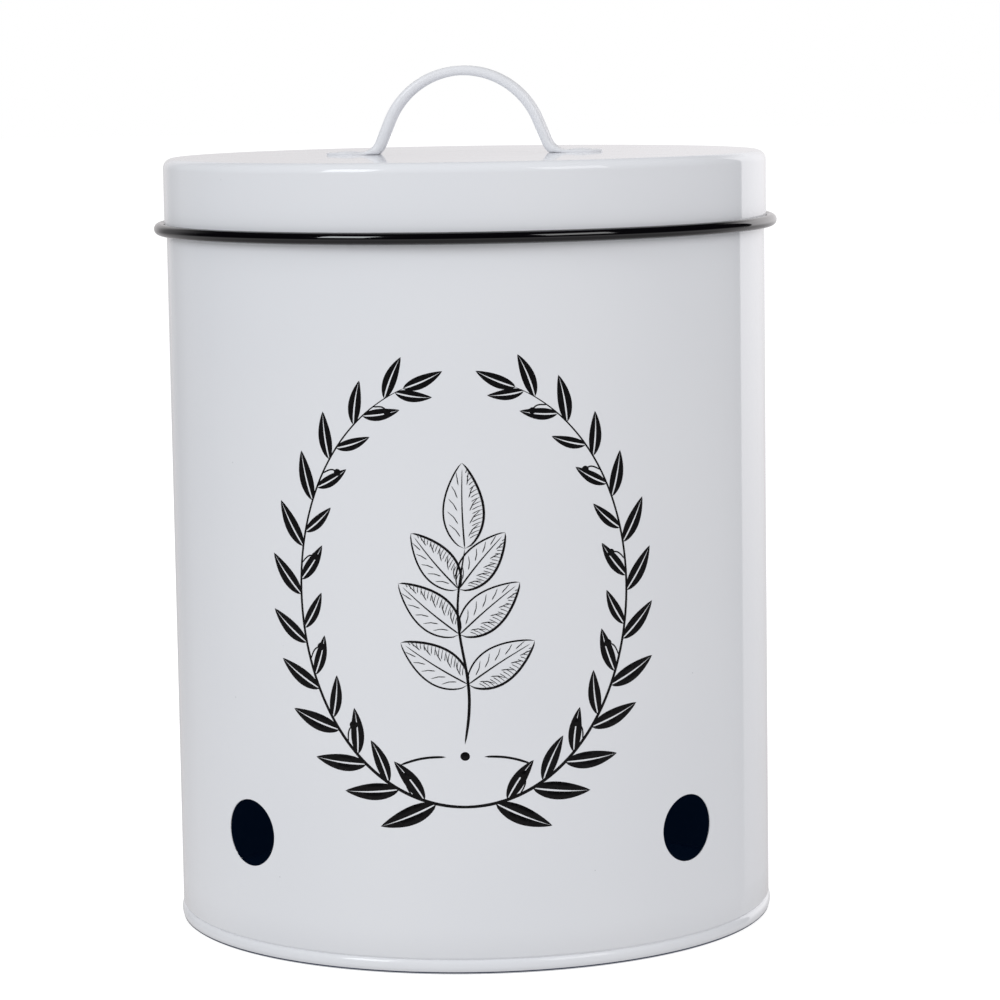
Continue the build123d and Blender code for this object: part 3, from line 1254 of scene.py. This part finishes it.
@dataclass(frozen=True)
class FrontPrint:
    """The decoration on the front: an oval wreath of leafy twigs round a hatched sprig, in black ink.

    The leaf at a twig's tip has its place in degrees, the place in radians whose direction it takes, and
    its length. A pair of sprig leaves has its share of the stem, its spread in degrees and its length.
    """

    wall_radius: float = 100.0
    ink: float = 0.05
    middle: float = 122.0
    half_width: float = 54.0
    half_height: float = 68.0
    twig_ends: Pair = (-101, 72)
    leaf_ends: Pair = (-78, 66)
    leaf_count: int = 12
    leaf_length: float = 19.0
    leaf_shrink: float = 0.28
    leaf_offset: float = 0.035
    inner_share: float = 0.82
    spread: float = 38.0
    tip: tuple[float, float, float] = (71.0, 1.24, 13.5)
    berry_offset: float = 0.11
    berry: float = 1.45
    stalk: float = 6.6
    stalk_lean: float = 62.0
    stalk_bow: float = 1.2
    sprig_foot: float = 74.0
    sprig_height: float = 62.0
    sprig_leaves: tuple[tuple[float, ...], ...] = ((0.30, 58, 25.0), (0.56, 50, 25.0), (0.80, 40, 23.0))
    top_leaf: float = 27.0
    ground_line: tuple[Pair, ...] = ((6, 70), (21, 67))
    seed_dot: tuple[float, float, float] = (0.0, 70.2, 1.5)
    seed: int = 7

    def build(self) -> None:
        """Makes both parts of the print and hands them over."""
        hand_over(self.wreath(), Body.BIN, Slot.BLACK)
        hand_over(self.sprig(), Body.BIN, Slot.BLACK)

    def _twig(self, turn: Array) -> Array:
        """Points of the wreath's oval at angles from its right end: (a cos t, m + b sin t)."""
        spots = (self.half_width * np.cos(turn), self.middle + self.half_height * np.sin(turn))
        return np.stack(spots, axis=-1)

    def _forward(self, angle: float) -> float:
        """The oval's direction at an angle, in radians."""
        return math.atan2(self.half_height * math.cos(angle), -self.half_width * math.sin(angle))

    def wreath(self) -> bpy.types.Object:
        """The wreath: two mirrored twigs that cross at the foot, with leaves and berries by turns.

        Returns:
            The object.
        """
        jitter = np.random.default_rng(self.seed)
        pen = Pen(self.wall_radius, self.ink)
        for mirror in (1, -1):
            flip = np.array([mirror, 1])
            pen.stroke(self._twig(np.radians(np.linspace(*self.twig_ends, 90))) * flip, 1.3, 0.65)
            for number, angle in enumerate(np.radians(np.linspace(*self.leaf_ends, self.leaf_count))):
                forward = self._forward(angle)
                shrink = 1 - self.leaf_shrink * number / self.leaf_count
                for side, share in ((-1, 1.0), (1, self.inner_share)):
                    foot = self._twig(np.array(angle + self.leaf_offset * side)) * flip
                    heading = forward + math.radians(self.spread + jitter.uniform(-4, 4)) * side
                    heading = heading if mirror > 0 else math.pi - heading
                    size = self.leaf_length * shrink * share * jitter.uniform(0.94, 1.05)
                    Leaf(foot, heading, size).solid(pen, 0.5 * side * mirror)
                if number % 2 == 0:
                    self._add_berry(pen, angle + self.berry_offset, forward, flip, shrink)
            turn, way, size = self.tip
            heading = self._forward(way) if mirror > 0 else math.pi - self._forward(way)
            Leaf(self._twig(np.array(math.radians(turn))) * flip, heading, size).solid(pen, 0.4 * mirror)
        return pen.make("front_wreath", INK)

    def _add_berry(self, pen: Pen, angle: float, forward: float, flip: Array, size: float) -> None:
        """Adds a berry on a short stalk on the inner side of a twig.

        Args:
            pen: what draws it.
            angle: where on the oval, in radians.
            forward: the twig's direction there.
            flip: what mirrors the left twig.
            size: scale.
        """
        foot = self._twig(np.array(angle))
        lean = forward + math.radians(self.stalk_lean)
        end = foot + self.stalk * size * np.array([math.cos(lean), math.sin(lean)])
        t = np.linspace(0, 1, 9)[:, None]
        bend = np.array([math.cos(forward), math.sin(forward)]) * self.stalk_bow * np.sin(np.pi * t)
        pen.stroke((foot + (end - foot) * t + bend) * flip, 0.5)
        pen.dot(end * flip, self.berry * size)

    def sprig(self) -> bpy.types.Object:
        """The sprig in the middle: a stem with three pairs of hatched leaves and one at its top.

        Returns:
            The object.
        """
        pen = Pen(self.wall_radius, self.ink)
        t = np.linspace(0, 1, 40)
        stem = np.column_stack((1.6 * np.sin(2.2 * np.pi * t), self.sprig_foot + self.sprig_height * t))
        pen.stroke(stem, 1.15, 0.45)
        for share, spread, length in self.sprig_leaves:
            for sign in (-1, 1):
                Leaf(stem[round(share * 39)], math.radians(90 - sign * spread), length).hatched(pen)
        Leaf(stem[-1], math.radians(91), self.top_leaf).hatched(pen)
        wave = np.column_stack((np.zeros(12), np.sin(np.linspace(0, 3, 12))))
        for sign in (-1, 1):
            begin, end = np.array(self.ground_line) * (sign, 1)
            pen.stroke(np.linspace(begin, end, 12) + wave, 0.8)
        pen.dot(np.array(self.seed_dot[:2]), self.seed_dot[2])
        return pen.make("front_sprig", INK)


# ---------------------------------------------------------------- the studio
@dataclass(frozen=True)
class SoftBox:
    """A soft lamp, with sizes in metres; gloss shows its image only where mirrored is set."""

    side: float
    lift: float
    width: float
    radiance: float
    height: float = 0.66
    distance: float = 1.6
    colour: Colour = (1.0, 1.0, 1.0)
    mirrored: bool = True


@dataclass(frozen=True)
class Studio:
    """Pale floor, white surroundings, soft lamps and the camera, with lengths in metres.

    The sky has its strength low down and what it loses overhead. A step of the glow behind the bin has
    the angles in radians between which it rises, and its gain.
    """

    camera_side: float = 1.63
    camera_distance: float = 1.242660
    camera_height: float = 0.290407
    pitch: float = 0.1212425
    yaw: float = 0.0081724
    roll: float = -0.0154435
    lens: float = 133.005
    aim_height: float = 0.17
    floor_reach: float = 12.0
    ambient: Colour = (0.605, 0.608, 0.614)
    sky: Pair = (1.48, 0.56)
    mirror_tint: Colour = (1.0, 0.975, 0.99)
    room_dark: float = 0.012
    glow_steps: tuple[Colour, ...] = ((-1.20, -0.75, 0.28), (-0.65, -0.32, 0.42), (-0.15, 0.75, 0.85))
    glow_end: Pair = (0.845, 0.865)
    table_glow: float = 0.50
    boxes: tuple[SoftBox, ...] = (
        SoftBox(-45.5, 31.0, 0.50, 5.5, colour=(0.93, 0.975, 1.0)),
        SoftBox(42.0, 31.0, 0.70, 2.5),
        SoftBox(180.0, 35.0, 1.2, 1.4, height=0.8, mirrored=False),
    )

    def build(self) -> None:
        """Makes everything that isn't the bin."""
        self._world()
        self._floor()
        for number, box in enumerate(self.boxes):
            self._lamp(number, box)
        self._camera()

    def _world(self) -> None:
        """White to the camera, and on surfaces an even light that is weaker overhead.

        For reflections there is a wall behind the bin, brighter in steps towards the right until it ends,
        and fading upwards and down to a pale table.
        """
        world = bpy.data.worlds.new("studio")
        bpy.context.scene.world = world
        world.use_nodes = True
        plan = ShaderPlan(world.node_tree)
        way = plan.node("ShaderNodeTexCoord", output="Generated")
        parts = (plan.node("ShaderNodeSeparateXYZ", inputs={0: way}, output=axis) for axis in range(3))
        across, ahead, up = parts
        angle = plan.node("ShaderNodeMath", {"operation": "ARCTAN2"}, {0: across, 1: ahead})
        first, second, third = (angle.ramp(low, high) * gain for low, high, gain in self.glow_steps)
        low = up.ramp(-0.27, 0.0) * 0.92 + 0.08
        behind = (1.0 - angle.ramp(*self.glow_end)) * (1.0 - up.ramp(0.30, 0.60)) * low
        down = 0.0 - up
        table = down.ramp(0.05, 0.26) * (1.0 - down.ramp(0.3, 0.6) * 0.4) * self.table_glow
        mirror = (first + second + third) * behind + table + self.room_dark
        mirrored, seen = plan.ray("Glossy"), plan.ray("Camera")
        tint = plan.blend(seen, plan.blend(mirrored, self.ambient, self.mirror_tint), (1.0, 1.0, 1.0))
        sky = self.sky[0] - up.ramp(0.5, 0.95) * self.sky[1]
        plain = seen + (1.0 - seen) * sky
        strength = mirrored * mirror + (1.0 - mirrored) * plain
        shown = plan.node("ShaderNodeBackground", inputs={"Color": tint, "Strength": strength})
        plan.show(shown, "ShaderNodeOutputWorld")

    def _floor(self) -> None:
        """A wide sheet of the floor's paper, which isn't part of the bin."""
        mesh = bpy.data.meshes.new("studio_floor")
        side = np.array([-1.0, 1.0]) * self.floor_reach
        corners = np.stack(np.meshgrid(side, side, [0.0]), axis=-1).reshape(-1, 3)
        mesh.from_pydata(corners.tolist(), [], [(0, 1, 3, 2)])
        mesh.materials.append(FloorPaper().material())
        put("studio_floor", mesh)

    def _lamp(self, number: int, box: SoftBox) -> None:
        """An area lamp that faces the middle of the bin and isn't seen by the camera.

        Args:
            number: counts the lamps.
            box: its place, size and radiance.
        """
        data = bpy.data.lights.new(f"soft_box_{number}", "AREA")
        data.shape = "RECTANGLE"
        data.size = box.width
        data.size_y = box.height
        data.energy = box.radiance * box.width * box.height * math.pi
        data.color = box.colour
        side = math.radians(self.camera_side + box.side)
        lift = math.radians(box.lift)
        way = Vector((math.sin(side) * math.cos(lift), -math.cos(side) * math.cos(lift), math.sin(lift)))
        lamp = put(data.name, data)
        lamp.location = Vector((0, 0, self.aim_height)) + way * box.distance
        lamp.rotation_euler = way.to_track_quat("Z", "Y").to_euler()
        lamp.visible_camera = False
        lamp.visible_glossy = box.mirrored

    def _camera(self) -> None:
        """The camera, at the angle that shows the front, a little over the lid."""
        data = bpy.data.cameras.new("camera")
        data.lens = self.lens
        data.sensor_width = 36.0
        data.sensor_fit = "HORIZONTAL"
        data.clip_start = 0.05
        data.clip_end = 100.0
        round_bin = Matrix.Rotation(math.radians(self.camera_side), 4, "Z")
        stand = Matrix.Translation((0, -self.camera_distance, self.camera_height))
        turns = ((-self.yaw, "Z"), (math.pi / 2 - self.pitch, "X"), (self.roll, "Z"))
        first, second, third = (Matrix.Rotation(angle, 4, axis) for angle, axis in turns)
        camera = put("camera", data)
        camera.matrix_world = round_bin @ stand @ (first @ second @ third)
        bpy.context.scene.camera = camera
        bpy.context.scene.view_settings.view_transform = "Standard"


def main() -> None:
    """Builds each sub-assembly in order, then the studio."""
    logging.basicConfig(level=logging.INFO, format="%(name)s: %(message)s")
    for part in (BinBody(), SlipLid(), CarryHandle(), FrontPrint(), Studio()):
        LOG.info("building %s", type(part).__name__)
        part.build()


if __name__ == "__main__":
    main()
